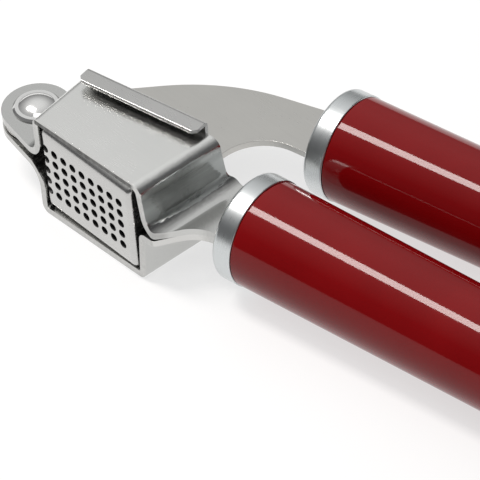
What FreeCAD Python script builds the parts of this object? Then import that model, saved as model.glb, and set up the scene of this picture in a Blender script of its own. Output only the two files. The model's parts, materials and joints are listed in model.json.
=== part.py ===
# Garlic press: two stamped shells joined as one lower arm with a box for the
# strainer basket, a flat pusher arm, a riveted pivot and two round grips.
# Millimetres. +Z is up and is the direction of the pivot axis, +X runs from
# the pivot towards the grips, and the strainer's perforated face looks to -Y.
# Construction frame: origin on the pivot axis in the mid-plane of the sheets.
# Every sub-part is then placed by the same shift, which puts the part's origin
# at the bottom centre of its bounding box.
import FreeCAD, Part
import math
import os

from FreeCAD import Vector, Rotation, Placement

os.makedirs("parts", exist_ok=True)
doc = FreeCAD.newDocument("garlic_press")

# ------------------------------------------------------------------ sheet ---
sheet = doc.addObject("Spreadsheet::Sheet", "Sizes")
CELLS = [
    # sheet metal
    ("gauge", 1.6), ("floor_skim", 0.05), ("basket_gauge", 0.9), ("eye_gap", 1.05),
    ("box_half", 13.5), ("wall_left_front", 11.66), ("wall_left_back", 7.15),
    ("wall_right_front", 44.8), ("wall_right_back", 45.4),
    ("front_plane", -10.6), ("back_plane", 17.4), ("wall_lean", 1.6),
    ("bend_left_top", 2.0), ("bend_left_foot", 4), ("bend_right_top", 2.7),
    ("bend_right_foot", 4.0), ("bend_small", 0.4), ("lower_bend_right", 2.2), ("lower_lean", 0.9),
    # plan outline of the two shells
    ("eye_radius", 7.8), ("eye_left", -7.8), ("eye_corner_front", -6.615),
    ("eye_corner_back", 9.806), ("front_left_x", 11.4), ("front_left_y", -9.8),
    ("front_right_x", 47.5), ("front_right_y", -8.5), ("neck_x", 52.32), ("neck_y", 0.7),
    ("neck_bend", 9.0), ("tang_end_x", 116.87), ("tang_end_y", 10.09),
    ("tang_back_x", 114.8), ("tang_back_y", 24.34), ("neck_back_x", 51.27), ("neck_back_y", 15.09),
    ("shoulder_x", 47.6), ("shoulder_y", 15), ("mouth_right_x", 46.6), ("mouth_right_y", 13.42),
    ("mouth_left_x", 9.1), ("mouth_left_y", 5.9),
    # basket
    ("basket_half", 11.5), ("basket_left", 13.4), ("basket_left_back", 10.8),
    ("basket_right", 42), ("basket_face", -9.5), ("basket_back_left", 6.7), ("basket_back_right", 13.33),
    ("basket_bend", 2.1), ("basket_corner", 1.2),
    ("hole_dia", 2.0), ("hole_pitch", 3.0), ("hole_first_x", 14.5), ("hole_first_z", 6.0),
    ("hole_span_x", 24.0), ("hole_span_z", 12.0), ("hole_columns", 9), ("hole_rows", 5),
    ("lip_angle", 11), ("lip_top", 16.1), ("lip_width", 4.5), ("lip_gap", 0.35),
    ("lip_start", 12), ("lip_length", 31.4), ("lip_corner", 1.1),
    # pusher arm
    ("arm_gauge", 1.6), ("arm_eye_radius", 7.4), ("web_front", -6.8), ("web_right", 38.3),
    ("pusher_left", 14.9), ("pusher_right", 40.2), ("pusher_half", 9.8), ("pusher_face", -8.3),
    ("pusher_gauge", 1.5), ("bracket_gauge", 1.0), ("bracket_leg", 6.0),
    ("bracket_length", 20.0), ("notch_left", 10.4), ("notch_top", 8.3), ("arm_inside_y", 29.53), ("arm_inside_bend", 11.0),
    ("arm_tang_x", 112.3), ("arm_tang_y", 43.91), ("arm_tang_back_x", 109.55), ("arm_tang_back_y", 58.04),
    ("arm_neck_x", 51.5), ("arm_neck_y", 46.76), ("arm_back_x", 21.4), ("arm_back_y", 35.85),
    ("arm_back_bend", 50.0),
    # pivot
    ("rivet_dia", 6.0), ("bore_dia", 6.1), ("ring_radius", 5.3), ("ring_thick", 0.7),
    ("dome_radius", 4), ("dome_rise", 1.35), ("ring_bevel", 0.45),
    # grips
    ("grip_front_radius", 12.0), ("grip_back_radius", 11.0), ("ferrule_radius", 12.2),
    ("ferrule_length", 4.9), ("grip_length", 108.0), ("cap_length", 9.0), ("core_radius", 9.0),
    ("ferrule_wall", 1.5), ("cap_seat", 4.0), ("cap_radius", 11.15), ("pin_length", 15.0),
    ("tang_width", 14.9), ("tang_slot_long", 62.0), ("pin_dia", 3.0),
    ("lower_x", 57.97), ("lower_y", 8.98), ("lower_turn", 8.28),
    ("upper_x", 52.03), ("upper_y", 39.53), ("upper_turn", 11.0),
    # placement of the construction frame in the part's own frame
    ("shift_x", -86.056), ("shift_y", -31.609), ("shift_z", 13.5),
]
for row, (name, value) in enumerate(CELLS, start=1):
    sheet.set("A%d" % row, name.replace("_", " "))
    sheet.set("B%d" % row, "%g" % value)
    sheet.setAlias("B%d" % row, name)
doc.recompute()


class Q:
    """A size with the sheet expression that gives it."""

    def __init__(self, value, text):
        self.v, self.t = float(value), text

    @staticmethod
    def of(x):
        return x if isinstance(x, Q) else Q(x, "(%.6g)" % x)

    def __add__(self, o):
        o = Q.of(o)
        return Q(self.v + o.v, "(%s + %s)" % (self.t, o.t))

    def __sub__(self, o):
        o = Q.of(o)
        return Q(self.v - o.v, "(%s - %s)" % (self.t, o.t))

    def __mul__(self, o):
        o = Q.of(o)
        return Q(self.v * o.v, "(%s * %s)" % (self.t, o.t))

    __radd__ = __add__
    __rmul__ = __mul__

    def __rsub__(self, o):
        return Q.of(o) - self

    def __neg__(self):
        return Q(0.0, "0") - self


class Cells:
    def __getattr__(self, name):
        return Q(float(getattr(sheet, name)), "Sizes." + name)


S = Cells()
PLANES = {}


def plane(body, role):
    for f in body.Origin.OriginFeatures:
        if f.Role == role:
            return f
    raise ValueError(role)


def new_body(name, label=None):
    b = doc.addObject("PartDesign::Body", name)
    b.Label = label or name
    return b


def new_sketch(body, name, role="XY_Plane", offset=0.0, turn=None):
    sk = body.newObject("Sketcher::SketchObject", name)
    sk.AttachmentSupport = [(plane(body, role), "")]
    sk.MapMode = "FlatFace"
    off = Q.of(offset)
    rot = turn if turn is not None else Rotation()
    sk.AttachmentOffset = Placement(Vector(0, 0, off.v), rot)
    if isinstance(offset, Q):
        sk.setExpression("AttachmentOffset.Base.z", off.t)
    return sk


def outline(sk, verts, construction=False):
    """Closed chain of lines through verts (x, y[, radius]); a radius rounds the
    corner with an arc tangent to both lines. Each corner's place and each
    radius is a constraint bound to the sheet."""
    n = len(verts)
    V = []
    for v in verts:
        x, y = Q.of(v[0]), Q.of(v[1])
        r = Q.of(v[2]) if len(v) > 2 and v[2] is not None else None
        V.append((x, y, r))
    P = [Vector(x.v, y.v, 0) for x, y, r in V]
    start, end, arcs = [None] * n, [None] * n, [None] * n
    for i in range(n):
        a, b, c = P[i - 1], P[i], P[(i + 1) % n]
        r = V[i][2]
        if r is None or r.v < 1e-6:
            end[i], start[i] = b, b
            continue
        u = (a - b); u.normalize()
        w = (c - b); w.normalize()
        ang = math.acos(max(-1, min(1, u.dot(w))))
        d = r.v / math.tan(ang / 2)
        p, q = b + u * d, b + w * d
        m = (u + w); m.normalize()
        cen = b + m * (r.v / math.sin(ang / 2))
        a0 = math.atan2(p.y - cen.y, p.x - cen.x)
        a1 = math.atan2(q.y - cen.y, q.x - cen.x)
        if (a1 - a0) % (2 * math.pi) > math.pi:
            a0, a1 = a1, a0
        if a1 < a0:
            a1 += 2 * math.pi
        arcs[i] = Part.ArcOfCircle(Part.Circle(cen, Vector(0, 0, 1), r.v), a0, a1)
        end[i], start[i] = p, q
    lines, ids = [None] * n, [None] * n
    for i in range(n):                       # line i runs from vertex i to i+1
        lines[i] = sk.addGeometry(Part.LineSegment(start[i], end[(i + 1) % n]), False)
    for i in range(n):
        if arcs[i] is not None:
            ids[i] = sk.addGeometry(arcs[i], False)
    for i in range(n):
        x, y, r = V[i]
        lin, lout = lines[i - 1], lines[i]
        if arcs[i] is None:
            sk.addConstraint(Sketch_c("Coincident", lin, 2, lout, 1))
            pid, pp = lout, 1
        else:
            arc = ids[i]
            g = sk.Geometry[arc]
            e = lines_end(sk, lin)
            if (g.StartPoint - e).Length < (g.EndPoint - e).Length:
                pin, pout = 1, 2
            else:
                pin, pout = 2, 1
            sk.addConstraint(Sketch_c("Tangent", lin, 2, arc, pin))
            sk.addConstraint(Sketch_c("Tangent", arc, pout, lout, 1))
            k = sk.addConstraint(Sketch_c("Radius", arc, r.v))
            if r.t:
                sk.setExpression("Constraints[%d]" % k, r.t)
            pid = sk.addGeometry(Part.Point(P[i]), True)
            pp = 1
            sk.addConstraint(Sketch_c("PointOnObject", pid, 1, lin))
            sk.addConstraint(Sketch_c("PointOnObject", pid, 1, lout))
        for kind, q in (("DistanceX", x), ("DistanceY", y)):
            k = sk.addConstraint(Sketch_c(kind, -1, 1, pid, pp, q.v))
            sk.setExpression("Constraints[%d]" % k, q.t)


def Sketch_c(*args):
    import Sketcher
    return Sketcher.Constraint(*args)


def lines_end(sk, gid):
    return sk.Geometry[gid].EndPoint


def circle(sk, x, y, r):
    x, y, r = Q.of(x), Q.of(y), Q.of(r)
    g = sk.addGeometry(Part.Circle(Vector(x.v, y.v, 0), Vector(0, 0, 1), r.v), False)
    for kind, q in (("DistanceX", x), ("DistanceY", y)):
        if abs(q.v) < 1e-9:
            k = sk.addConstraint(Sketch_c("PointOnObject", g, 3, -2 if kind == "DistanceX" else -1))
        else:
            k = sk.addConstraint(Sketch_c(kind, -1, 1, g, 3, q.v))
            sk.setExpression("Constraints[%d]" % k, q.t)
    k = sk.addConstraint(Sketch_c("Radius", g, r.v))
    sk.setExpression("Constraints[%d]" % k, r.t)
    return g


def bind(obj, prop, q):
    q = Q.of(q)
    setattr(obj, prop, q.v)
    obj.setExpression(prop, q.t)


def volume(obj):
    return obj.Shape.Volume if obj.Shape and not obj.Shape.isNull() else 0.0


def pad(body, sk, length, both=False, reverse=False, name=None):
    f = body.newObject("PartDesign::Pad", name or sk.Name + "_pad")
    f.Profile = sk
    f.Type = "Length"
    if both:
        f.SideType = "Symmetric"
    f.Reversed = reverse
    bind(f, "Length", length)
    sk.Visibility = False
    doc.recompute()
    return f


def pocket(body, sk, length=None, both=False, reverse=False, name=None):
    before = volume(body)
    f = body.newObject("PartDesign::Pocket", name or sk.Name + "_cut")
    f.Profile = sk
    f.Reversed = reverse
    if both:
        f.SideType = "Symmetric"
    if length is None:
        f.Type = "ThroughAll"
    else:
        f.Type = "Length"
        bind(f, "Length", length)
    doc.recompute()
    if volume(body) > before - 1e-4:
        raise RuntimeError("pocket %s cuts nothing" % f.Name)
    return f


def revolve(body, sk, axis="H_Axis", name=None):
    f = body.newObject("PartDesign::Revolution", name or sk.Name + "_turn")
    f.Profile = sk
    f.ReferenceAxis = (sk, [axis])
    f.Angle = 360.0
    doc.recompute()
    return f


def edges_near(shape, pts, tol=0.05):
    """Names of the edges that pass through the given points."""
    out = []
    for p in pts:
        best, bd = None, 1e9
        v = Part.Vertex(p)
        for i, e in enumerate(shape.Edges):
            d = e.distToShape(v)[0]
            if d < bd:
                best, bd = i, d
        if bd > tol:
            raise RuntimeError("no edge near %s (%.3f)" % (p, bd))
        out.append("Edge%d" % (best + 1))
    return sorted(set(out))


def fillet(body, base, pts, radius, kind="PartDesign::Fillet"):
    f = body.newObject(kind, body.Name + ("_round" if kind.endswith("Fillet") else "_bevel"))
    f.Base = (base, edges_near(base.Shape, pts))
    bind(f, "Radius" if kind.endswith("Fillet") else "Size", radius)
    doc.recompute()
    return f


def place(obj, x=None, y=None, z=None, turn=None):
    """Put a sub-part in the part's frame: construction position plus shift."""
    qs = [Q.of(v) if v is not None else Q.of(0.0) for v in (x, y, z)]
    qs = [q + s for q, s in zip(qs, (S.shift_x, S.shift_y, S.shift_z))]
    rot = Rotation(Vector(0, 0, 1), turn.v) if turn is not None else Rotation()
    obj.Placement = Placement(Vector(*[q.v for q in qs]), rot)
    for c, q in zip("xyz", qs):
        obj.setExpression("Placement.Base." + c, q.t)
    PARTS.append(obj)


PARTS = []
TILT = 1.00903          # length of the leaning wall's gauge measured along X, per mm of gauge
LEAN = 0.13445          # lean of the upper shell's right wall, mm along X per mm of height

# --------------------------------------------------------- the two shells ---
SHELL_PLAN = [
    (S.eye_left, S.eye_corner_front, S.eye_radius - 0.03),
    (S.front_left_x, S.front_left_y, None),
    (S.front_right_x, S.front_right_y, 1.2),
    (S.neck_x, S.neck_y, S.neck_bend),
    (S.tang_end_x, S.tang_end_y, None),
    (S.tang_back_x, S.tang_back_y, None),
    (S.neck_back_x, S.neck_back_y, 20.0),
    (S.shoulder_x, S.shoulder_y, 1.2),
    (S.mouth_right_x, S.mouth_right_y, 1.5),
    (S.mouth_left_x, S.mouth_left_y, 0.6),
    (S.eye_left, S.eye_corner_back, S.eye_radius - 0.03),
]


def shell_profile(side, left, right):
    """Section of one shell across the box, side +1 for the upper one."""
    g = S.gauge
    if side > 0:
        pts = [
            (Q.of(-9.5), S.eye_gap + g, None),
            (left, S.eye_gap + g, S.bend_left_foot),
            (left, S.box_half, S.bend_left_top),
            (right, S.box_half, S.bend_right_top),
            (right + (S.box_half - g) * LEAN, g, S.bend_right_foot),
            (Q.of(120.0), g, None),
            (Q.of(120.0), Q.of(0.0), None),
            (right + S.box_half * LEAN - g * TILT, Q.of(0.0), S.bend_right_foot + g),
            (right + g * LEAN - g * TILT, S.box_half - g, S.bend_right_top - g),
            (left + g, S.box_half - g, S.bend_left_top - g),
            (left + g, S.eye_gap, S.bend_left_foot + g),
            (Q.of(-9.5), S.eye_gap, None),
        ]
    else:
        pts = [
            (Q.of(-9.5), -(S.eye_gap + g), None),
            (left, -(S.eye_gap + g), S.bend_left_foot),
            (left, -(S.box_half + S.floor_skim), S.bend_left_top),
            (right - S.lower_lean, -(S.box_half + S.floor_skim), S.lower_bend_right),
            (right, -g, S.bend_small),
            (Q.of(120.0), -g, None),
            (Q.of(120.0), Q.of(0.0), None),
            (right - g, Q.of(0.0), S.bend_small + g),
            (right - g - S.lower_lean, g - S.box_half, S.lower_bend_right - g),
            (left + g, g - S.box_half, S.bend_left_top - g),
            (left + g, -S.eye_gap, S.bend_left_foot + g),
            (Q.of(-9.5), -S.eye_gap, None),
        ]
    return pts


def build_shell(name, side):
    b = new_body(name)
    front = new_sketch(b, name + "_front", "XZ_Plane", -S.front_plane)
    outline(front, shell_profile(side, S.wall_left_front, S.wall_right_front))
    back = new_sketch(b, name + "_back", "XZ_Plane", -S.back_plane)
    outline(back, shell_profile(side, S.wall_left_back, S.wall_right_back))
    doc.recompute()
    loft = b.newObject("PartDesign::AdditiveLoft", name + "_sheet")
    loft.Profile = front
    loft.Sections = [back]
    loft.Ruled = True
    doc.recompute()
    # the tang continues past the loft's back plane as flat sheet
    tang = new_sketch(b, name + "_tang_sketch", "XY_Plane", 0.0)
    outline(tang, [(50.0, -10.0), (120.0, -10.0), (120.0, 28.0), (50.0, 28.0)])
    pad(b, tang, S.gauge, reverse=(side < 0), name=name + "_tang")
    trim = new_sketch(b, name + "_trim_sketch", "XY_Plane", 0.0)
    outline(trim, [(-30.0, -30.0), (140.0, -30.0), (140.0, 50.0), (-30.0, 50.0)])
    outline(trim, SHELL_PLAN)
    pocket(b, trim, 80.0, both=True, name=name + "_trim")
    if side < 0:
        # the underside is dressed flat: it is what the press lies on
        flat = new_sketch(b, name + "_flat_sketch", "XY_Plane", -S.box_half)
        outline(flat, [(-30.0, -30.0), (140.0, -30.0), (140.0, 50.0), (-30.0, 50.0)])
        pocket(b, flat, 5.0, name=name + "_flat")
    bore = new_sketch(b, name + "_bore_sketch", "XY_Plane", 0.0)
    circle(bore, 0.0, 0.0, S.rivet_dia * 0.5)
    pocket(b, bore, 80.0, both=True, name=name + "_bore")
    pins = new_sketch(b, name + "_pin_sketch", "XY_Plane", 0.0)
    for d in PIN_STATIONS:
        px = S.lower_x.v + d * math.cos(math.radians(S.lower_turn.v))
        py = S.lower_y.v + d * math.sin(math.radians(S.lower_turn.v))
        circle(pins, Q(px, "(Sizes.lower_x + %g * cos(Sizes.lower_turn * 1deg))" % d),
               Q(py, "(Sizes.lower_y + %g * sin(Sizes.lower_turn * 1deg))" % d), S.pin_dia * 0.5)
    pocket(b, pins, 20.0, both=True, name=name + "_pin_holes")
    place(b)
    return b


PIN_STATIONS = (18.0, 46.0)
upper_shell = build_shell("frame_upper_shell", +1)
lower_shell = build_shell("frame_lower_shell", -1)

# ----------------------------------------------------------------- basket ---
basket = new_body("strainer_basket")
bp = new_sketch(basket, "basket_plan", "XY_Plane", 0.0)
BASKET_PLAN = [
    (S.basket_left, S.basket_face), (S.basket_right, S.basket_face),
    (S.basket_right, S.basket_back_right), (S.basket_left_back, S.basket_back_left)]
outline(bp, BASKET_PLAN)
base = pad(basket, bp, S.basket_half * 2.0, both=True, name="basket_block")
xm, hb = 27.0, S.basket_half.v
fy = S.basket_face.v
base = fillet(basket, base, [Vector(xm, fy, hb), Vector(xm, fy, -hb)], S.basket_bend)
# the side corners run on round the front bends and back along the walls
base = fillet(basket, base, [Vector(S.basket_left.v, fy, 0), Vector(S.basket_right.v, fy, 0)],
              S.basket_corner)
mouth_face = None
for i, f in enumerate(base.Shape.Faces):
    c = f.CenterOfMass
    if abs(c.z) < 0.5 and c.y > 8 and 20 < c.x < 34 and f.Area > 300:
        mouth_face = "Face%d" % (i + 1)
thick = basket.newObject("PartDesign::Thickness", "basket_hollow")
thick.Base = (base, [mouth_face])
bind(thick, "Value", S.basket_gauge)
thick.Reversed = True
thick.Mode = "Skin"
thick.Join = "Intersection"
doc.recompute()
print("basket shell volume", round(thick.Shape.Volume, 1), "of block", round(base.Shape.Volume, 1))

hs = new_sketch(basket, "basket_hole_sketch", "XZ_Plane", -S.basket_face)
circle(hs, S.hole_first_x, -S.hole_first_z, S.hole_dia * 0.5)
hp = pocket(basket, hs, S.basket_gauge, name="basket_hole")
lp = basket.newObject("PartDesign::LinearPattern", "basket_holes")
lp.Originals = [hp]
lp.Direction = (hs, ["H_Axis"])
lp.Mode = "Extent"
bind(lp, "Length", S.hole_span_x)
lp.Occurrences = int(S.hole_columns.v)
lp.setExpression("Occurrences", "Sizes.hole_columns")
lp.Direction2 = (hs, ["V_Axis"])
lp.Mode2 = "Extent"
bind(lp, "Length2", S.hole_span_z)
lp.Occurrences2 = int(S.hole_rows.v)
lp.setExpression("Occurrences2", "Sizes.hole_rows")
basket.Tip = lp
doc.recompute()
print("basket after holes", round(lp.Shape.Volume, 1))

# the hook: the top wall runs on past the mouth, turns up and folds forward
# over the back edge of the upper shell's top
ca, sa = math.cos(math.radians(S.lip_angle.v)), math.sin(math.radians(S.lip_angle.v))
hook = new_sketch(basket, "basket_hook_sketch", "YZ_Plane", 0.0)
hook.AttachmentOffset = Placement(Vector(S.lip_start.v * sa, 0, S.lip_start.v * ca),
                                  Rotation(Vector(0, 1, 0), S.lip_angle.v))
hook.setExpression("AttachmentOffset.Base.x", "Sizes.lip_start * sin(Sizes.lip_angle * 1deg)")
hook.setExpression("AttachmentOffset.Base.z", "Sizes.lip_start * cos(Sizes.lip_angle * 1deg)")
mouth = -S.mouth_left_x.v * sa + S.mouth_left_y.v * ca      # mouth line to pivot
m = Q(mouth, "(Sizes.mouth_left_y * cos(Sizes.lip_angle * 1deg)"
             " - Sizes.mouth_left_x * sin(Sizes.lip_angle * 1deg))")
g = S.basket_gauge
yin = m + S.lip_gap
yout = yin + g
outline(hook, [
    (m - 3.0, S.basket_half, None),
    (m - 3.0, S.basket_half - g, None),
    (yout, S.basket_half - g, 1.2),
    (yout, S.lip_top, 1.25),
    (yout - S.lip_width, S.lip_top, 0.25),
    (yout - S.lip_width, S.lip_top - g, 0.25),
    (yin, S.lip_top - g, 0.35),
    (yin, S.basket_half, 0.3)])
hk = pad(basket, hook, S.lip_length, name="basket_hook")
print("basket with hook", round(hk.Shape.Volume, 1), hk.Shape.BoundBox)


lc = new_sketch(basket, "basket_lip_corner_sketch", "XY_Plane", S.lip_top + 1.0,
                Rotation(Vector(0, 0, 1), S.lip_angle.v))
lf = yout - S.lip_width
l0, l1, c_ = S.lip_start, S.lip_start + S.lip_length, S.lip_corner
outline(lc, [(l0 - 1.0, lf - 1.0), (l0 + c_, lf - 1.0), (l0 + c_, lf), (l0, lf + c_), (l0 - 1.0, lf + c_)])
outline(lc, [(l1 + 1.0, lf - 1.0), (l1 + 1.0, lf + c_), (l1, lf + c_), (l1 - c_, lf), (l1 - c_, lf - 1.0)])
pocket(basket, lc, g + 1.3, name="basket_lip_corners")

place(basket)

# ------------------------------------------------------------- pusher arm ---
arm = new_body("pusher_arm")
ask = new_sketch(arm, "arm_plan", "XY_Plane", 0.0)
R = S.arm_eye_radius
outline(ask, [
    (-R, -R, R - 0.03), (R, -R, R - 0.03), (R, 2.4, 2.0), (S.notch_left, S.notch_top, 1.2),
    (S.pusher_left, S.notch_top + 0.5, 1.2), (S.pusher_left, S.web_front, None),
    (S.web_right, S.web_front, None), (S.web_right, S.arm_inside_y, S.arm_inside_bend),
    (S.arm_tang_x, S.arm_tang_y, None), (S.arm_tang_back_x, S.arm_tang_back_y, None),
    (S.arm_neck_x, S.arm_neck_y, None), (S.arm_back_x, S.arm_back_y, S.arm_back_bend),
    (1.5, 10.88, 12.0), (-R, 3.48, R - 0.03)])
pad(arm, ask, S.arm_gauge, both=True, name="arm_plate")
ab = new_sketch(arm, "arm_bore_sketch", "XY_Plane", 0.0)
circle(ab, 0.0, 0.0, S.bore_dia * 0.5)
for d in PIN_STATIONS:
    px = S.upper_x.v + d * math.cos(math.radians(S.upper_turn.v))
    py = S.upper_y.v + d * math.sin(math.radians(S.upper_turn.v))
    circle(ab, Q(px, "(Sizes.upper_x + %g * cos(Sizes.upper_turn * 1deg))" % d),
           Q(py, "(Sizes.upper_y + %g * sin(Sizes.upper_turn * 1deg))" % d), S.pin_dia * 0.5)
pocket(arm, ab, 20.0, both=True, name="arm_bores")
place(arm)

# pusher face: a flat plate that fills the basket
head = new_body("pusher_face")
hsk = new_sketch(head, "pusher_face_sketch", "XZ_Plane", -S.pusher_face)
outline(hsk, [(S.pusher_left, -S.pusher_half, 1.2), (S.pusher_right, -S.pusher_half, 1.2),
              (S.pusher_right, S.pusher_half, 1.2), (S.pusher_left, S.pusher_half, 1.2)])
pad(head, hsk, S.pusher_gauge, reverse=True, name="pusher_plate")
place(head)

# angle brackets above and below the web that hold the face square to it
for tag, sg in (("upper", 1), ("lower", -1)):
    br = new_body("pusher_bracket_" + tag)
    bs = new_sketch(br, "bracket_%s_sketch" % tag, "YZ_Plane", 17.0)
    w, t = S.web_front, S.bracket_gauge
    a = S.arm_gauge * 0.5
    outline(bs, [(w, a * sg), (w + S.bracket_leg, a * sg), (w + S.bracket_leg, (a + t) * sg),
                 (w + t, (a + t) * sg, 0.8), (w + t, (a + S.bracket_leg) * sg),
                 (w, (a + S.bracket_leg) * sg)])
    pad(br, bs, S.bracket_length, name="bracket_%s_pad" % tag)
    place(br)

# ------------------------------------------------------------------ pivot ---
rivet = new_body("pivot_rivet")
rs = new_sketch(rivet, "rivet_section", "XZ_Plane", 0.0)
rr, rd, rise = S.rivet_dia * 0.5, S.dome_radius, S.dome_rise
zb = S.eye_gap + S.gauge + S.ring_thick
sph = (rd.v ** 2 + rise.v ** 2) / (2 * rise.v)
P1, P2 = Vector(0, zb.v + rise.v, 0), Vector(rd.v, zb.v, 0)
cz = zb.v + rise.v - sph
a0 = math.atan2(P2.y - cz, P2.x)
gi = [rs.addGeometry(Part.ArcOfCircle(Part.Circle(Vector(0, cz, 0), Vector(0, 0, 1), sph), a0, math.pi / 2), False),
      rs.addGeometry(Part.LineSegment(P2, Vector(rr.v, zb.v, 0)), False),
      rs.addGeometry(Part.LineSegment(Vector(rr.v, zb.v, 0), Vector(rr.v, -zb.v, 0)), False),
      rs.addGeometry(Part.LineSegment(Vector(rr.v, -zb.v, 0), Vector(rd.v, -zb.v, 0)), False),
      rs.addGeometry(Part.ArcOfCircle(Part.Circle(Vector(0, -cz, 0), Vector(0, 0, 1), sph), -math.pi / 2, -a0), False),
      rs.addGeometry(Part.LineSegment(Vector(0, -P1.y, 0), P1), False)]
for a, b in (((gi[0], 1), (gi[1], 1)), ((gi[1], 2), (gi[2], 1)), ((gi[2], 2), (gi[3], 1)),
             ((gi[3], 2), (gi[4], 2)), ((gi[4], 1), (gi[5], 1)), ((gi[5], 2), (gi[0], 2))):
    rs.addConstraint(Sketch_c("Coincident", a[0], a[1], b[0], b[1]))
for gid, pos, x, z in ((gi[1], 1, rd, zb), (gi[1], 2, rr, zb), (gi[3], 1, rr, -zb), (gi[3], 2, rd, -zb)):
    for kind, q in (("DistanceX", x), ("DistanceY", z)):
        k = rs.addConstraint(Sketch_c(kind, -1, 1, gid, pos, q.v))
        rs.setExpression("Constraints[%d]" % k, q.t)
for gid, pos, q in ((gi[5], 2, zb + rise), (gi[5], 1, -(zb + rise))):
    rs.addConstraint(Sketch_c("PointOnObject", gid, pos, -2))
    k = rs.addConstraint(Sketch_c("DistanceY", -1, 1, gid, pos, q.v))
    rs.setExpression("Constraints[%d]" % k, q.t)
rs.addConstraint(Sketch_c("PointOnObject", gi[0], 3, -2))
rs.addConstraint(Sketch_c("PointOnObject", gi[4], 3, -2))
revolve(rivet, rs, "V_Axis", "rivet_turned")
place(rivet)

for tag, sg in (("upper", 1), ("lower", -1)):
    rg = new_body("pivot_ring_" + tag)
    k = new_sketch(rg, "ring_%s_sketch" % tag, "XY_Plane", (S.eye_gap + S.gauge) * sg)
    circle(k, 0.0, 0.0, S.ring_radius)
    circle(k, 0.0, 0.0, S.rivet_dia * 0.5)
    p_ = pad(rg, k, S.ring_thick, reverse=(sg < 0), name="ring_%s_pad" % tag)
    fillet(rg, p_, [Vector(0, S.ring_radius.v, sg * (S.eye_gap.v + S.gauge.v + S.ring_thick.v))],
           S.ring_bevel, "PartDesign::Chamfer")
    place(rg)

# ------------------------------------------------------------------ grips ---
# each grip's pieces are made along their own X axis from the ferrule's front
# face, then turned and moved together


def grip(tag, x, y, turn, tang):
    fr = new_body(tag + "_ferrule")
    f1 = new_sketch(fr, tag + "_ferrule_section", "XY_Plane", 0.0)
    outline(f1, [(0.0, 0.0), (0.0, S.ferrule_radius, 1.0), (S.ferrule_length, S.ferrule_radius, 0.25),
                 (S.ferrule_length, S.core_radius), (S.ferrule_wall, S.core_radius), (S.ferrule_wall, 0.0)])
    revolve(fr, f1, "H_Axis", tag + "_ferrule_turned")
    f2 = new_sketch(fr, tag + "_ferrule_slot_sketch", "XY_Plane", 0.0)
    outline(f2, [(-1.0, S.tang_width * -0.5), (3.0, S.tang_width * -0.5),
                 (3.0, S.tang_width * 0.5), (-1.0, S.tang_width * 0.5)])
    pocket(fr, f2, tang, both=True, name=tag + "_ferrule_slot")
    place(fr, x, y, 0.0, turn)

    co = new_body(tag + "_handle_core")
    c1 = new_sketch(co, tag + "_core_section", "XY_Plane", 0.0)
    end = S.ferrule_length + S.grip_length + S.cap_seat
    outline(c1, [(S.ferrule_wall, 0.0), (S.ferrule_wall, S.core_radius), (end, S.core_radius, 0.5), (end, 0.0)])
    revolve(co, c1, "H_Axis", tag + "_core_turned")
    c2 = new_sketch(co, tag + "_core_slot_sketch", "XY_Plane", 0.0)
    outline(c2, [(0.0, S.tang_width * -0.5), (S.tang_slot_long, S.tang_width * -0.5),
                 (S.tang_slot_long, S.tang_width * 0.5), (0.0, S.tang_width * 0.5)])
    pocket(co, c2, tang, both=True, name=tag + "_core_slot")
    c3 = new_sketch(co, tag + "_core_pin_sketch", "XY_Plane", 0.0)
    for d in PIN_STATIONS:
        circle(c3, d, 0.0, S.pin_dia * 0.5)
    pocket(co, c3, 30.0, both=True, name=tag + "_core_pin_holes")
    place(co, x, y, 0.0, turn)

    pn = new_body(tag + "_tang_pin_front")
    q1 = new_sketch(pn, tag + "_pin_front_sketch", "XY_Plane", 0.0)
    circle(q1, PIN_STATIONS[0], 0.0, S.pin_dia * 0.5)
    pad(pn, q1, S.pin_length, both=True, name=tag + "_pin_front_pad")
    place(pn, x, y, 0.0, turn)
    pb = new_body(tag + "_tang_pin_rear")
    q2 = new_sketch(pb, tag + "_pin_rear_sketch", "XY_Plane", 0.0)
    circle(q2, PIN_STATIONS[1], 0.0, S.pin_dia * 0.5)
    pad(pb, q2, S.pin_length, both=True, name=tag + "_pin_rear_pad")
    place(pb, x, y, 0.0, turn)

    gr = new_body(tag + "_grip_sleeve")
    g1 = new_sketch(gr, tag + "_grip_section", "XY_Plane", 0.0)
    g_end = S.ferrule_length + S.grip_length
    outline(g1, [(S.ferrule_length, S.core_radius), (S.ferrule_length, S.grip_front_radius, 0.4),
                 (g_end, S.grip_back_radius, 0.4), (g_end, S.core_radius)])
    revolve(gr, g1, "H_Axis", tag + "_grip_turned")
    place(gr, x, y, 0.0, turn)

    cp = new_body(tag + "_end_cap")
    e1 = new_sketch(cp, tag + "_cap_section", "XY_Plane", 0.0)
    outline(e1, [(g_end, S.core_radius), (g_end, S.cap_radius, 0.25), (g_end + S.cap_length, S.cap_radius, 4.5),
                 (g_end + S.cap_length + 0.8, 0.0), (end, 0.0), (end, S.core_radius)])
    revolve(cp, e1, "H_Axis", tag + "_cap_turned")
    place(cp, x, y, 0.0, turn)


grip("lower", S.lower_x, S.lower_y, S.lower_turn, S.gauge * 2.0)
grip("upper", S.upper_x, S.upper_y, S.upper_turn, S.arm_gauge)

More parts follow.
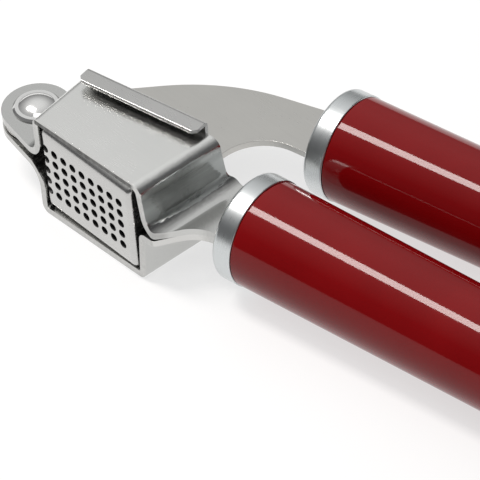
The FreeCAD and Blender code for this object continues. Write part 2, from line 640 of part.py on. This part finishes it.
# --------------------------------------------------------- check and write ---
doc.recompute()
bad = []
for o in doc.Objects:
    if "Invalid" in o.State or "Error" in o.State:
        bad.append("%s: %s" % (o.Name, o.State))
for o in PARTS:
    sh = o.Shape
    if sh.isNull() or not sh.isValid() or sh.Volume <= 0 or len(sh.Solids) < 1:
        bad.append("%s: shape null, invalid or empty" % o.Label)
if bad:
    raise RuntimeError("; ".join(bad))
box = FreeCAD.BoundBox()
for o in PARTS:
    box.add(o.Shape.BoundBox)
print("box", [round(v, 3) for v in (box.XMin, box.YMin, box.ZMin, box.XMax, box.YMax, box.ZMax)])
print("centre", round((box.XMin + box.XMax) / 2, 4), round((box.YMin + box.YMax) / 2, 4))
for o in PARTS:
    print("%-24s solids %d volume %.1f" % (o.Label, len(o.Shape.Solids), o.Shape.Volume))
    o.Shape.exportStep("parts/%s.step" % o.Label)
print(len(PARTS), "sub-parts written")
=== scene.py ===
import json
import math

import bmesh
import bpy
from mathutils import Matrix, Vector


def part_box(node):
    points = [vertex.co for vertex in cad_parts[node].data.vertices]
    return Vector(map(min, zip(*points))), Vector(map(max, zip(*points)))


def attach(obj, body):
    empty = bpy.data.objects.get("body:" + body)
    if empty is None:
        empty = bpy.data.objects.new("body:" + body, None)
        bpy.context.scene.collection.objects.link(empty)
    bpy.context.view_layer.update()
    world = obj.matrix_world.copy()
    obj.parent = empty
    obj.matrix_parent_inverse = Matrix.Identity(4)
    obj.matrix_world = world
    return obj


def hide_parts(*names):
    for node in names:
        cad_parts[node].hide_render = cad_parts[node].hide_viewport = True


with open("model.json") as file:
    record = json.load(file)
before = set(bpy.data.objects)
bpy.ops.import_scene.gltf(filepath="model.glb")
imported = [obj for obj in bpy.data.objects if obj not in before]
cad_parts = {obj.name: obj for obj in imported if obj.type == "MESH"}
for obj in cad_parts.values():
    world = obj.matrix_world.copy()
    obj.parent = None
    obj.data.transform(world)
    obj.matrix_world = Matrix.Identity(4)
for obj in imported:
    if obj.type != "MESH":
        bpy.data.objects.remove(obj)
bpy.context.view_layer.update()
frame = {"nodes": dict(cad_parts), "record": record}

nodes = frame["nodes"]
MM = 0.001

# --------------------------------------------------------------- node tools ---


class Net:
    """Small helper for building node trees."""

    def __init__(self, tree):
        self.t = tree
        self.x = 0

    def add(self, kind, **props):
        n = self.t.nodes.new(kind)
        n.location = (self.x, 0)
        self.x += 180
        for k, v in props.items():
            setattr(n, k, v)
        return n

    def link(self, a, b):
        self.t.links.new(a, b)

    def coords(self, scale=(1.0, 1.0, 1.0), turn=0.0, shift=(0.0, 0.0, 0.0)):
        tc = self.add("ShaderNodeTexCoord")
        mp = self.add("ShaderNodeMapping")
        mp.inputs["Scale"].default_value = scale
        mp.inputs["Rotation"].default_value = (0.0, 0.0, turn)
        mp.inputs["Location"].default_value = shift
        self.link(tc.outputs["Object"], mp.inputs["Vector"])
        return mp.outputs["Vector"]

    def noise(self, vec, scale, detail=4.0, rough=0.5):
        n = self.add("ShaderNodeTexNoise")
        n.inputs["Scale"].default_value = scale
        n.inputs["Detail"].default_value = detail
        n.inputs["Roughness"].default_value = rough
        self.link(vec, n.inputs["Vector"])
        return n.outputs["Fac"]

    def span(self, value, a, b, c, d):
        n = self.add("ShaderNodeMapRange")
        for k, v in zip(("From Min", "From Max", "To Min", "To Max"), (a, b, c, d)):
            n.inputs[k].default_value = v
        self.link(value, n.inputs["Value"])
        return n.outputs["Result"]

    def math(self, op, a, b=None):
        n = self.add("ShaderNodeMath", operation=op)
        for i, v in enumerate((a, b)):
            if v is None:
                continue
            if hasattr(v, "is_linked") or hasattr(v, "links"):
                self.link(v, n.inputs[i])
            else:
                n.inputs[i].default_value = v
        return n.outputs[0]

    def ramp(self, fac, stops):
        n = self.add("ShaderNodeValToRGB")
        e = n.color_ramp.elements
        while len(e) < len(stops):
            e.new(0.5)
        for el, (p, c) in zip(e, stops):
            el.position = p
            el.color = c if len(c) == 4 else (*c, 1.0)
        self.link(fac, n.inputs["Fac"])
        return n.outputs["Color"]

    def mix(self, fac, a, b, blend="MIX"):
        n = self.add("ShaderNodeMix", data_type="RGBA", blend_type=blend)
        for i, v in ((0, fac), (6, a), (7, b)):
            if isinstance(v, (float, int)):
                n.inputs[i].default_value = v
            elif isinstance(v, tuple):
                n.inputs[i].default_value = v if len(v) == 4 else (*v, 1.0)
            else:
                self.link(v, n.inputs[i])
        return n.outputs[2]

    def bump(self, height, strength, distance, normal=None):
        n = self.add("ShaderNodeBump")
        if isinstance(strength, float):
            n.inputs["Strength"].default_value = strength
        else:
            self.link(strength, n.inputs["Strength"])
        n.inputs["Distance"].default_value = distance
        self.link(height, n.inputs["Height"])
        if normal is not None:
            self.link(normal, n.inputs["Normal"])
        return n.outputs["Normal"]


def material(name):
    m = bpy.data.materials.new(name)
    m.use_nodes = True
    m.node_tree.nodes.clear()
    net = Net(m.node_tree)
    return m, net


def finish(net, bsdf):
    out = net.add("ShaderNodeOutputMaterial")
    net.link(bsdf.outputs["BSDF"], out.inputs["Surface"])


def steel(name, light, dark, rough, grain_turn=0.0, stretch=40.0, grain_bump=0.04,
          spread=0.04, cloud=0.5, aniso=0.0, low=1.0, high=1.0, turned=None, streaks=0.0,
          sheared=None, satin=0.0):
    """Sheet steel: rolled grain along one direction, soft clouding, fine
    scratches from handling and slightly duller patches. low/high scale the
    tone by height from the underside to the top, painted light and shade.
    turned gives the axis angle of a lathe-finished part, whose marks run round it."""
    m, n = material(name)
    plain = n.coords()
    if turned is None:
        along = n.coords((60.0, 60.0 * stretch, 60.0 * stretch), grain_turn)
        finer = n.coords((300.0, 300.0 * stretch * 0.5, 300.0 * stretch * 0.5), grain_turn)
    else:
        along = n.coords((60.0 * stretch, 60.0, 60.0), -turned)
        finer = n.coords((300.0 * stretch * 0.5, 300.0, 300.0), -turned)
    grain = n.noise(along, 1.0, 5.0, 0.6)
    fine = n.noise(finer, 1.0, 3.0, 0.6)
    clouds = n.noise(plain, 55.0, 2.0, 0.5)
    smear = n.noise(n.coords((1.0, 1.0, 1.0), 0.7, (0.3, 0.1, 0.0)), 160.0, 3.0, 0.5)
    sc = n.noise(n.coords((35.0, 2400.0, 2400.0), grain_turn + 0.5), 1.0, 2.0, 0.5)
    scratch = n.span(sc, 0.70, 0.78, 0.0, 1.0)
    tone = n.math("ADD", n.math("MULTIPLY", grain, 0.45), n.math("MULTIPLY", clouds, cloud))
    col = n.ramp(tone, [(0.25, dark), (0.78, light)])
    sep = n.add("ShaderNodeSeparateXYZ")
    n.link(plain, sep.inputs["Vector"])
    # painted light and shade: the tone is scaled by height, from low at the underside to high at the top
    height_shade_tone = n.span(sep.outputs["Z"], 0.0165, 0.0262, low, high)
    comb = n.add("ShaderNodeCombineColor")
    for k in ("Red", "Green", "Blue"):
        n.link(height_shade_tone, comb.inputs[k])
    col = n.mix(1.0, col, comb.outputs["Color"], "MULTIPLY")
    col = n.mix(n.math("MULTIPLY", scratch, 0.15), col, (0.80, 0.80, 0.79))
    r = n.span(n.math("ADD", n.math("MULTIPLY", fine, 0.5), n.math("MULTIPLY", smear, 0.5)),
               0.3, 0.7, rough - spread, rough + spread)
    r = n.math("ADD", r, n.math("MULTIPLY", scratch, 0.05))
    r = n.math("ADD", r, n.span(sep.outputs["Z"], 0.0255, 0.0262, 0.0, satin))
    calm = n.span(sep.outputs["Z"], 0.0262, 0.0275, grain_bump, min(grain_bump, 0.02))
    nb = n.bump(grain, calm, 0.00002)
    nb = n.bump(fine, calm, 0.000006, nb)
    nb = n.bump(scratch, 0.06, 0.000004, nb)
    if streaks > 0.0:
        # draw marks from forming run front to back along the bent walls
        wall = n.span(sep.outputs["Z"], 0.0250, 0.0235, 0.0, 1.0)
        foot = n.math("MULTIPLY", n.span(sep.outputs["X"], -0.0445, -0.0425, 0.0, 1.0),
                      n.span(sep.outputs["X"], -0.0375, -0.0355, 1.0, 0.0))
        zone = n.math("MULTIPLY", wall, foot)
        draw = n.noise(n.coords((900.0, 30.0, 900.0), -0.12), 1.0, 3.0, 0.6)
        wide = n.noise(n.coords((260.0, 16.0, 260.0), -0.12), 1.0, 2.0, 0.5)
        marks = n.math("MULTIPLY", n.math("ADD", n.math("MULTIPLY", draw, 0.4), wide), zone)
        nb = n.bump(marks, streaks, 0.00025, nb)
        patch = n.span(n.math("MULTIPLY", wide, zone), 0.35, 0.65, 1.0, 0.72)
        cp = n.add("ShaderNodeCombineColor")
        for k in ("Red", "Green", "Blue"):
            n.link(patch, cp.inputs[k])
        col = n.mix(1.0, col, cp.outputs["Color"], "MULTIPLY")
        r = n.math("SUBTRACT", r, n.math("MULTIPLY", zone, 0.07))
    if sheared is not None:
        # painted shade: faces turned to the front (-Y) are darkened, and the sheared front edge gets a darker,
        # rougher band below its rim
        geo = n.add("ShaderNodeNewGeometry")
        gs = n.add("ShaderNodeSeparateXYZ")
        n.link(geo.outputs["True Normal"], gs.inputs["Vector"])
        front = n.span(gs.outputs["Y"], -0.80, -0.95, 0.0, 1.0)
        band = n.math("MULTIPLY", n.span(sep.outputs["Z"], sheared[0], sheared[0] + 0.00015, 0.0, 1.0),
                      n.span(sep.outputs["Z"], sheared[1], sheared[1] + 0.0002, 1.0, 0.0))
        flat = n.math("MULTIPLY", n.span(sep.outputs["X"], -0.0742, -0.0736, 0.0, 1.0),
                      n.span(sep.outputs["X"], -0.0440, -0.0430, 1.0, 0.0))
        band = n.math("MULTIPLY", band, flat)
        front_shade_noise = n.noise(n.coords((1400.0, 1400.0, 1400.0)), 1.0, 3.0, 0.6)
        front_face_shade = n.math("MULTIPLY", front, n.span(front_shade_noise, 0.3, 0.7, 0.35, 0.75))
        col = n.mix(front_face_shade, col, (0.40, 0.40, 0.39))
        edge_shade_noise = n.noise(n.coords((700.0, 700.0, 160.0)), 1.0, 3.0, 0.6)
        edge = n.math("MULTIPLY", n.math("MULTIPLY", front, band), n.span(edge_shade_noise, 0.25, 0.6, 0.75, 1.0))
        # painted shade: the dark band on the front edge
        col = n.mix(edge, col, (0.085, 0.085, 0.082))
        r = n.math("ADD", r, n.math("MULTIPLY", edge, 0.15))
    b = n.add("ShaderNodeBsdfPrincipled")
    b.inputs["Metallic"].default_value = 1.0
    b.inputs["Anisotropic"].default_value = aniso
    n.link(col, b.inputs["Base Color"])
    n.link(r, b.inputs["Roughness"])
    n.link(nb, b.inputs["Normal"])
    finish(n, b)
    return m


def grip_gloss():
    """Deep red moulded sleeve under a clear gloss: pigment varies a little,
    the gloss has very slight moulding ripple and a few hairline marks."""
    m, n = material("grip_gloss_red")
    plain = n.coords()
    pig = n.noise(plain, 60.0, 3.0, 0.5)
    speck = n.noise(plain, 1500.0, 2.0, 0.5)
    col = n.ramp(n.math("ADD", n.math("MULTIPLY", pig, 0.8), n.math("MULTIPLY", speck, 0.2)),
                 [(0.3, (0.165, 0.0012, 0.0022)), (0.7, (0.195, 0.0020, 0.0032))])
    ripple = n.noise(n.coords((20.0, 75.0, 75.0)), 1.0, 2.0, 0.4)
    hair = n.noise(n.coords((25.0, 2600.0, 2600.0), 0.15), 1.0, 3.0, 0.6)
    r = n.span(n.math("ADD", n.math("MULTIPLY", hair, 0.4), n.math("MULTIPLY", pig, 0.6)), 0.3, 0.7, 0.045, 0.075)
    nb = n.bump(ripple, 0.035, 0.0004)
    nb = n.bump(hair, 0.02, 0.000004, nb)
    b = n.add("ShaderNodeBsdfPrincipled")
    b.inputs["Specular IOR Level"].default_value = 0.30
    b.inputs["IOR"].default_value = 1.45
    n.link(col, b.inputs["Base Color"])
    n.link(r, b.inputs["Roughness"])
    n.link(nb, b.inputs["Normal"])
    finish(n, b)
    return m


def core_plastic():
    m, n = material("core_plastic_dark")
    plain = n.coords()
    f = n.noise(plain, 900.0, 3.0, 0.6)
    col = n.ramp(f, [(0.3, (0.018, 0.018, 0.018)), (0.7, (0.035, 0.034, 0.034))])
    r = n.span(f, 0.3, 0.7, 0.45, 0.6)
    nb = n.bump(f, 0.3, 0.00003)
    b = n.add("ShaderNodeBsdfPrincipled")
    n.link(col, b.inputs["Base Color"])
    n.link(r, b.inputs["Roughness"])
    n.link(nb, b.inputs["Normal"])
    finish(n, b)
    return m


# painted light and shade: the upper shell runs from 0.80 on its lower walls to 1.04 on its top plate by height,
# and its front-facing faces and front edge band are painted dark
M_UPPER = steel("frame_steel_top", (0.715, 0.72, 0.705), (0.675, 0.68, 0.665), 0.18, 0.3,
                low=0.80, high=1.04, streaks=0.45, sheared=(0.0252, 0.0264), satin=0.07)
# painted shade: the lower shell is a darker copy of the same frame steel, and its front-facing faces are painted
# dark
M_LOWER = steel("frame_steel_low", (0.64, 0.64, 0.625), (0.60, 0.60, 0.585), 0.20, 0.1,
                sheared=(-0.01, -0.009))
# painted shade: the basket's tone is scaled down to 0.92 towards its top lip by height
M_SIEVE = steel("basket_steel", (0.60, 0.60, 0.59), (0.53, 0.53, 0.52), 0.27, 0.0, 6.0, 0.10, 0.05,
                low=1.0, high=0.92)
# painted shade: the pusher face is drawn in near-black steel so that the sieve holes in front of it read black
M_PLATE_SHADE = steel("pusher_plate_painted_shade", (0.060, 0.060, 0.062), (0.040, 0.040, 0.041), 0.42, 0.0, 6.0, 0.10, 0.05)
# painted shade: the arm's front-facing faces are painted dark
M_ARM = steel("arm_steel", (0.545, 0.54, 0.515), (0.505, 0.50, 0.478), 0.30, 0.2, 30.0, 0.035,
              sheared=(-0.01, -0.009))
M_BRIGHT = steel("polished_steel", (0.80, 0.80, 0.785), (0.76, 0.76, 0.75), 0.13, 0.4, 12.0, 0.015, 0.02, 0.3)
M_FERRULE = {
    "lower": steel("ferrule_satin_lower", (0.62, 0.645, 0.65), (0.59, 0.615, 0.62), 0.285, 0.0, 25.0, 0.05,
                   0.03, 0.3, turned=math.radians(8.28)),
    "upper": steel("ferrule_satin_upper", (0.62, 0.645, 0.65), (0.59, 0.615, 0.62), 0.285, 0.0, 25.0, 0.05,
                   0.03, 0.3, turned=math.radians(11.0))}
M_GRIP = grip_gloss()
M_CORE = core_plastic()

LOOK = {
    "frame_upper_shell": M_UPPER, "frame_lower_shell": M_LOWER, "strainer_basket": M_SIEVE,
    "pusher_arm": M_ARM, "pusher_face": M_PLATE_SHADE, "pusher_bracket_upper": M_ARM, "pusher_bracket_lower": M_ARM,
    "pivot_rivet": M_BRIGHT, "pivot_ring_upper": M_BRIGHT, "pivot_ring_lower": M_BRIGHT,
}
for tag in ("lower", "upper"):
    LOOK.update({tag + "_ferrule": M_FERRULE[tag], tag + "_end_cap": M_FERRULE[tag], tag + "_grip_sleeve": M_GRIP,
                 tag + "_handle_core": M_CORE, tag + "_tang_pin_front": M_BRIGHT,
                 tag + "_tang_pin_rear": M_BRIGHT})
for name, o in nodes.items():
    if not o.material_slots:
        raise RuntimeError("node %s has no material slot" % name)
    for sl in o.material_slots:
        sl.link = "OBJECT"
        sl.material = LOOK[name]

# Sheet parts are shown by finished copies of their solids, with the sheared
# edges rolled over so that they catch the light. Each copy replaces its node.
SHEET = {"frame_upper_shell": 0.22, "frame_lower_shell": 0.22, "strainer_basket": 0.06,
         "pusher_arm": 0.24, "pusher_face": 0.18, "pusher_bracket_upper": 0.12,
         "pusher_bracket_lower": 0.12}
BODY = {n: body for body, ns in frame["record"]["behaviour"]["bodies"].items() for n in ns}
finished = {}
for name in SHEET:
    piece = bpy.data.objects.new(name + "_finished", nodes[name].data.copy())
    piece.data.materials.clear()
    piece.data.materials.append(LOOK[name])
    bpy.context.collection.objects.link(piece)
    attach(piece, BODY[name])
    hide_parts(name)
    finished[name] = piece

# painted shade: the punched holes' bores get a dull dark steel so that the holes read black, standing in for the
# shade inside them
o = finished["strainer_basket"]
o.data.materials.append(steel("punched_bore_painted_shade", (0.10, 0.10, 0.098), (0.06, 0.06, 0.06), 0.5, 0.0, 4.0))
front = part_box("strainer_basket")[0].y
for p in o.data.polygons:
    c, nn = p.center, p.normal
    if front + 0.00004 < c.y < front + 0.00086 and abs(nn.y) < 0.2:
        u = ((c.x + 0.071556) / 0.003) - round((c.x + 0.071556) / 0.003)
        w = ((c.z - 0.0135) / 0.003) - round((c.z - 0.0135) / 0.003)
        if 0.30 < math.hypot(u, w) < 0.36 and -0.0725 < c.x < -0.0465 and 0.0065 < c.z < 0.0205:
            p.material_index = 1

for name, width in SHEET.items():
    o = finished[name]
    for p in o.data.polygons:
        p.use_smooth = True
    w = o.modifiers.new("join", "WELD")
    w.merge_threshold = 0.00001
    d = o.modifiers.new("flats", "DECIMATE")
    d.decimate_type = "DISSOLVE"
    d.angle_limit = math.radians(0.6)
    b = o.modifiers.new("edge", "BEVEL")
    b.width = width * MM
    b.segments = 2
    b.limit_method = "ANGLE"
    b.angle_limit = math.radians(40.0)
    b.use_clamp_overlap = True
    b.harden_normals = False
    n = o.modifiers.new("shade", "WEIGHTED_NORMAL")
    n.mode = "FACE_AREA"
    n.weight = 50
    n.keep_sharp = False

# -------------------------------------------------------------------- stage ---
m, n = material("floor_pale")
f = n.noise(n.coords(), 6.0, 2.0, 0.5)
col = n.ramp(f, [(0.3, (0.30, 0.30, 0.30)), (0.7, (0.32, 0.32, 0.32))])
r = n.span(f, 0.3, 0.7, 0.85, 0.9)
b = n.add("ShaderNodeBsdfPrincipled")
b.inputs["Specular IOR Level"].default_value = 0.1
b.inputs["Emission Color"].default_value = (1.0, 1.0, 1.0, 1.0)
b.inputs["Emission Strength"].default_value = 0.66
n.link(col, b.inputs["Base Color"])
n.link(r, b.inputs["Roughness"])
finish(n, b)
bm = bmesh.new()
bmesh.ops.create_grid(bm, x_segments=2, y_segments=2, size=3.0)
me = bpy.data.meshes.new("studio_floor")
bm.to_mesh(me)
bm.free()
floor = bpy.data.objects.new("studio_floor", me)
floor.location = (0.0, 0.0, -0.0002)
me.materials.append(m)
bpy.context.collection.objects.link(floor)

world = bpy.data.worlds.new("studio")
bpy.context.scene.world = world
world.use_nodes = True
wt = world.node_tree
wt.nodes.clear()
n = Net(wt)
tc = n.add("ShaderNodeTexCoord")
dot = n.add("ShaderNodeVectorMath", operation="DOT_PRODUCT")
dot.inputs[1].default_value = (-0.35, 0.25, 0.90)
n.link(tc.outputs["Generated"], dot.inputs[0])
sky = n.ramp(dot.outputs["Value"], [
    (0.00, (0.10, 0.10, 0.10)), (0.34, (0.13, 0.13, 0.135)), (0.51, (0.28, 0.28, 0.28)),
    (0.65, (0.42, 0.42, 0.42)), (0.75, (0.52, 0.52, 0.52)), (0.86, (0.70, 0.70, 0.70)),
    (0.93, (0.80, 0.80, 0.80)), (1.00, (0.86, 0.86, 0.86))])
bg = n.add("ShaderNodeBackground")
n.link(sky, bg.inputs["Color"])
bg.inputs["Strength"].default_value = 1.0
wo = n.add("ShaderNodeOutputWorld")
n.link(bg.outputs["Background"], wo.inputs["Surface"])


def softbox(name, target, azimuth, elevation, distance, size_x, size_y, radiance, long_axis):
    """A rectangular soft light that faces the target, long_axis along its X."""
    a, e = math.radians(azimuth), math.radians(elevation)
    d = Vector((math.cos(e) * math.cos(a), math.cos(e) * math.sin(a), math.sin(e)))
    L = bpy.data.lights.new(name, "AREA")
    L.shape = "RECTANGLE"
    L.size = size_x
    L.size_y = size_y
    L.energy = radiance * math.pi * size_x * size_y
    o = bpy.data.objects.new(name, L)
    x = Vector(long_axis)
    x = (x - d * x.dot(d)).normalized()
    y = d.cross(x).normalized()
    mat = Matrix((x, y, d)).transposed().to_4x4()
    mat.translation = Vector(target) + d * distance
    o.matrix_world = mat
    o.visible_camera = False
    bpy.context.collection.objects.link(o)
    return o


key = softbox("key_strip", (0.03, 0.002, 0.02), -157.0, 59.8, 0.80, 0.40, 0.158, 22.0, (0.985, 0.17, 0.0))
key.data.color = (1.0, 0.955, 0.93)
softbox("front_box", (-0.08, -0.03, 0.02), -42.0, 66.0, 0.70, 0.34, 0.26, 2.6, (0.74, 0.67, 0.0))

# ------------------------------------------------------------------- camera ---
cam = bpy.data.cameras.new("camera")
cam.lens = 300.0
cam.sensor_width = 36.0
cam.sensor_fit = "HORIZONTAL"
cam.clip_start = 0.05
cam.clip_end = 20.0
co = bpy.data.objects.new("camera", cam)
fwd = Vector((-0.5655, 0.4534, -0.6889)).normalized()
rgt = Vector((0.6681, 0.7416, -0.0603))
rgt = (rgt - fwd * rgt.dot(fwd)).normalized()
upv = rgt.cross(fwd).normalized()
cm = Matrix((rgt, upv, -fwd)).transposed().to_4x4()
cm.translation = Vector((0.445544, -0.404909, 0.5878))
co.matrix_world = cm
bpy.context.collection.objects.link(co)
bpy.context.scene.camera = co
bpy.context.scene.view_settings.view_transform = "Standard"
